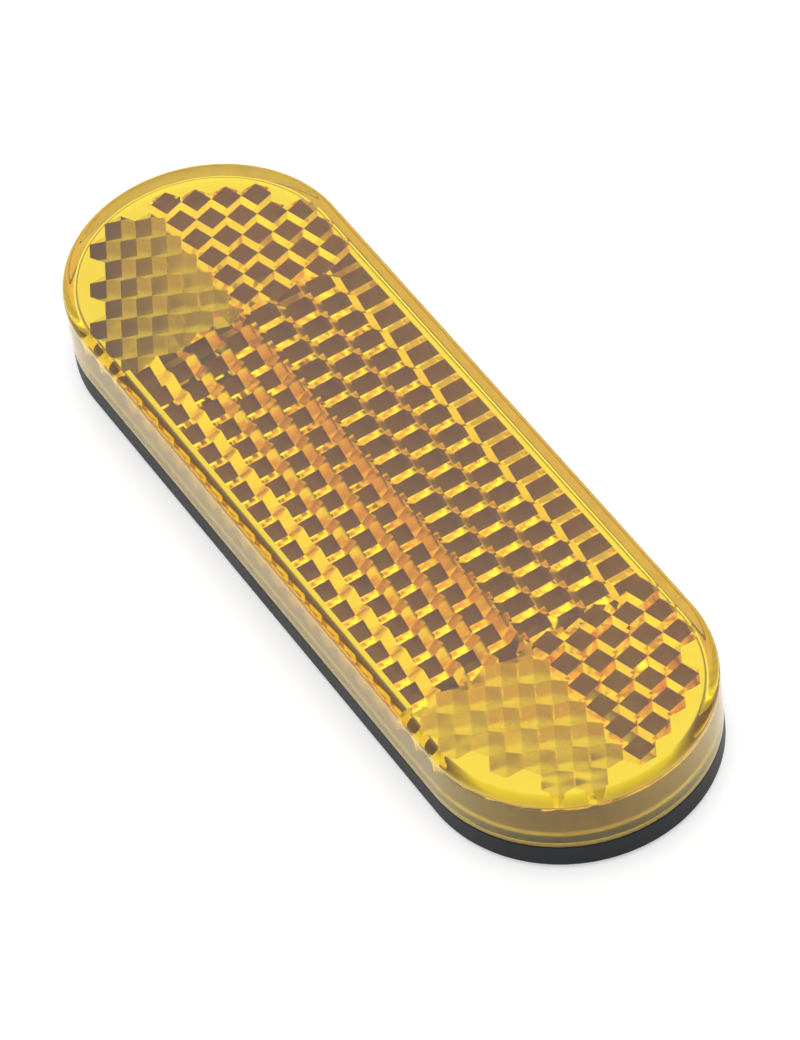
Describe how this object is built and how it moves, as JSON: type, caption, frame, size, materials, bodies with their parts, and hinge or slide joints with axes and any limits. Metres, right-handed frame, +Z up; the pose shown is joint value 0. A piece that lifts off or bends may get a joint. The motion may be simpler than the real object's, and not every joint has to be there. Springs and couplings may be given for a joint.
{
  "type": "oblong surface-mounted road marker",
  "caption": "Pill-shaped stick-on marker: amber cube-corner lens with a clear skirt, back plate, black base and adhesive pad.",
  "frame": {"origin": "centre of the adhesive pad's underside, on the surface that the marker is stuck to", "axes": "+X along the marker, +Y across it, +Z up through the lens"},
  "size_m": [0.095, 0.03, 0.0104],
  "materials": {
    "amber_lens": "clear moulded amber acrylic, polished outer faces",
    "tan_plate": "satin brown ABS",
    "black_base": "fine-grained black ABS",
    "pad_foam": "closed-cell foam with adhesive faces"
  },
  "bodies": {
    "root": {"lens": "amber_lens", "back_plate": "tan_plate", "base": "black_base", "adhesive_pad": "pad_foam"}
  },
  "joints": []
}
